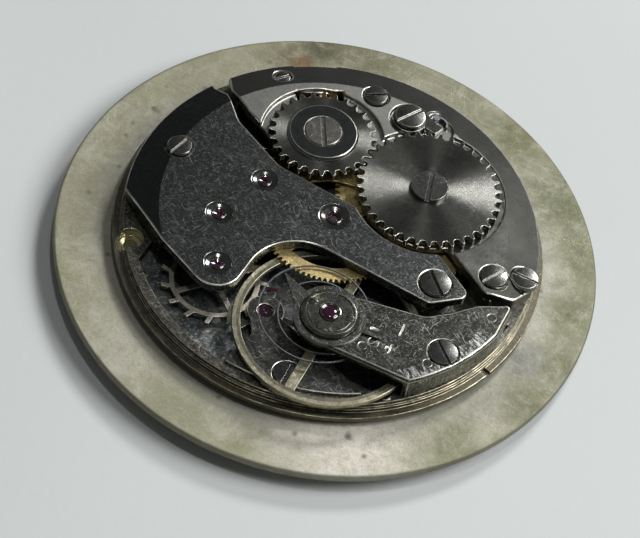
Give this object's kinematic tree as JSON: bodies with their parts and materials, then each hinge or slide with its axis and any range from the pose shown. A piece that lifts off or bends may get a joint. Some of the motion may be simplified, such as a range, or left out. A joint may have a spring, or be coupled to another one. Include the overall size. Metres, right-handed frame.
{
  "type": "watch movement",
  "caption": "Hand-wound wristwatch movement with small seconds on its bare round dial, seen from the bridge side.",
  "frame": {"origin": "on the centre arbor, at the back of the dial", "axes": "+Z from the dial to the bridges, +Y outward along the winding stem, +X towards twelve o'clock"},
  "size_m": [0.03, 0.03, 0.0045],
  "materials": {
    "nickel_plate": "worn grey nickel plate over brass",
    "steel_parts": "polished hardened steel",
    "brass_parts": "plain gilt brass",
    "dial_silver": "aged matt silvered back",
    "ruby": "polished synthetic ruby"
  },
  "bodies": {
    "movement": {"dial": "dial_silver", "main_plate": "nickel_plate", "barrel_bridge": "nickel_plate", "train_bridge": "nickel_plate", "balance_cock": "nickel_plate", "pallet_cock": "nickel_plate", "bridge_screws": "steel_parts", "pallet_cock_screw": "steel_parts", "steady_pins": "steel_parts", "case_screw": "steel_parts", "dial_foot_screws": "steel_parts", "train_bridge_jewels": "ruby", "plate_jewels": "ruby", "pallet_cock_jewel": "ruby", "cock_hole_jewel": "ruby", "cock_cap_jewel": "ruby", "cap_setting": "brass_parts", "cap_screws": "steel_parts", "hairspring": "steel_parts", "hairspring_stud": "steel_parts", "stud_screw": "steel_parts", "crown_core": "steel_parts", "crown_screw": "steel_parts", "click_screw": "steel_parts", "click_spring": "steel_parts", "setting_lever_screw": "steel_parts", "clutch_lever_spring": "steel_parts"},
    "regulator": {"regulator": "steel_parts"},
    "balance": {"balance_wheel": "brass_parts", "balance_staff": "steel_parts", "roller": "steel_parts", "impulse_pin": "ruby", "hairspring_collet": "brass_parts"},
    "pallets": {"pallet_fork": "steel_parts", "pallet_arbor": "steel_parts", "pallet_stones": "ruby"},
    "escape": {"escape_wheel": "brass_parts", "escape_pinion": "steel_parts"},
    "fourth": {"fourth_wheel": "brass_parts", "fourth_pinion": "steel_parts"},
    "third": {"third_wheel": "brass_parts", "third_pinion": "steel_parts"},
    "centre": {"centre_wheel": "brass_parts", "centre_pinion": "steel_parts"},
    "barrel": {"barrel_drum": "brass_parts", "barrel_cover": "brass_parts", "mainspring": "steel_parts"},
    "ratchet": {"ratchet_wheel": "steel_parts", "ratchet_screw": "steel_parts", "barrel_arbor": "steel_parts"},
    "crown": {"crown_wheel": "steel_parts"},
    "winding_pinion": {"winding_pinion": "steel_parts"},
    "click": {"click": "steel_parts"},
    "clutch": {"sliding_clutch": "steel_parts"},
    "setting_lever": {"setting_lever": "steel_parts"},
    "clutch_lever": {"clutch_lever": "steel_parts"},
    "setting_wheel": {"setting_wheel": "steel_parts"},
    "minute_wheel": {"minute_wheel": "brass_parts"},
    "cannon": {"cannon_pinion": "steel_parts"},
    "hour": {"hour_wheel": "brass_parts"}
  },
  "joints": [
    {"name": "fourth_spin", "type": "hinge", "parent": "movement", "child": "fourth", "pos_m": [-0.00626, 0.00013, 0], "axis": [0, 0, 1], "continuous": true},
    {"name": "third_spin", "type": "hinge", "parent": "movement", "child": "third", "pos_m": [-0.00361, 0.00243, 0], "axis": [0, 0, 1], "continuous": true},
    {"name": "centre_spin", "type": "hinge", "parent": "movement", "child": "centre", "pos_m": [0, 0, 0], "axis": [0, 0, 1], "continuous": true},
    {"name": "escape_spin", "type": "hinge", "parent": "movement", "child": "escape", "pos_m": [-0.00655, -0.00324, 0], "axis": [0, 0, 1], "continuous": true},
    {"name": "barrel_spin", "type": "hinge", "parent": "movement", "child": "barrel", "pos_m": [0.0054, 0.00187, 0], "axis": [0, 0, 1], "continuous": true},
    {"name": "cannon_spin", "type": "hinge", "parent": "movement", "child": "cannon", "pos_m": [0, 0, 0], "axis": [0, 0, 1], "continuous": true},
    {"name": "minute_spin", "type": "hinge", "parent": "movement", "child": "minute_wheel", "pos_m": [-0.00208, 0.0012, 0], "axis": [0, 0, 1], "continuous": true},
    {"name": "hour_spin", "type": "hinge", "parent": "movement", "child": "hour", "pos_m": [0, 0, 0], "axis": [0, 0, 1], "continuous": true},
    {"name": "setting_spin", "type": "hinge", "parent": "movement", "child": "setting_wheel", "pos_m": [-0.001, 0.00453, 0], "axis": [0, 0, 1], "continuous": true},
    {"name": "balance_swing", "type": "hinge", "parent": "movement", "child": "balance", "pos_m": [-0.00085, -0.00666, 0], "axis": [0, 0, 1], "range_deg": [-270, 270], "stiffness_Nm_per_rad": 0.00000025, "deforming": ["hairspring"]},
    {"name": "pallet_swing", "type": "hinge", "parent": "movement", "child": "pallets", "pos_m": [-0.00399, -0.00544, 0], "axis": [0, 0, 1], "range_deg": [-5.5, 5.5]},
    {"name": "regulator_turn", "type": "hinge", "parent": "movement", "child": "regulator", "pos_m": [-0.00085, -0.00666, 0], "axis": [0, 0, 1], "range_deg": [-20, 20]},
    {"name": "ratchet_turn", "type": "hinge", "parent": "movement", "child": "ratchet", "pos_m": [0.0054, 0.00187, 0], "axis": [0, 0, 1], "range_deg": [0, 1980]},
    {"name": "crown_turn", "type": "hinge", "parent": "movement", "child": "crown", "pos_m": [-0.00017, 0.0056, 0], "axis": [0, 0, 1], "range_deg": [-2688.14, 0]},
    {"name": "winding_pinion_turn", "type": "hinge", "parent": "movement", "child": "winding_pinion", "pos_m": [0, 0.00827, 0.00127], "axis": [0, 1, 0], "range_deg": [0, 6841]},
    {"name": "click_swing", "type": "hinge", "parent": "movement", "child": "click", "pos_m": [0.00487, 0.00695, 0], "axis": [0, 0, 1], "range_deg": [-7.5, 5], "stiffness_Nm_per_rad": 0.000001, "deforming": ["click_spring"]},
    {"name": "clutch_slide", "type": "slide", "parent": "movement", "child": "clutch", "axis": [0, 1, 0], "range_m": [-0.00070001, 0]},
    {"name": "setting_lever_turn", "type": "hinge", "parent": "movement", "child": "setting_lever", "pos_m": [-0.00198, 0.0102, 0], "axis": [0, 0, 1], "range_deg": [0, 9.01]},
    {"name": "clutch_lever_turn", "type": "hinge", "parent": "movement", "child": "clutch_lever", "pos_m": [-0.0026, 0.007, 0], "axis": [0, 0, 1], "range_deg": [-15.49, 0], "deforming": ["clutch_lever_spring"]}
  ],
  "couplings": [
    {"joint": "third_spin", "follows": "fourth_spin", "ratio": -0.13333},
    {"joint": "centre_spin", "follows": "fourth_spin", "ratio": 0.016667},
    {"joint": "escape_spin", "follows": "fourth_spin", "ratio": -10},
    {"joint": "barrel_spin", "follows": "fourth_spin", "ratio": -0.0025641},
    {"joint": "cannon_spin", "follows": "fourth_spin", "ratio": 0.016667},
    {"joint": "minute_spin", "follows": "fourth_spin", "ratio": -0.0055556},
    {"joint": "hour_spin", "follows": "fourth_spin", "ratio": 0.0013889},
    {"joint": "setting_spin", "follows": "fourth_spin", "ratio": 0.0058824},
    {"joint": "crown_turn", "follows": "ratchet_turn", "ratio": -1.3571},
    {"joint": "winding_pinion_turn", "follows": "ratchet_turn", "ratio": 3.4545},
    {"joint": "setting_lever_turn", "follows": "clutch_slide", "rad_per_m": -224.4},
    {"joint": "clutch_lever_turn", "follows": "clutch_slide", "rad_per_m": 385.78}
  ]
}
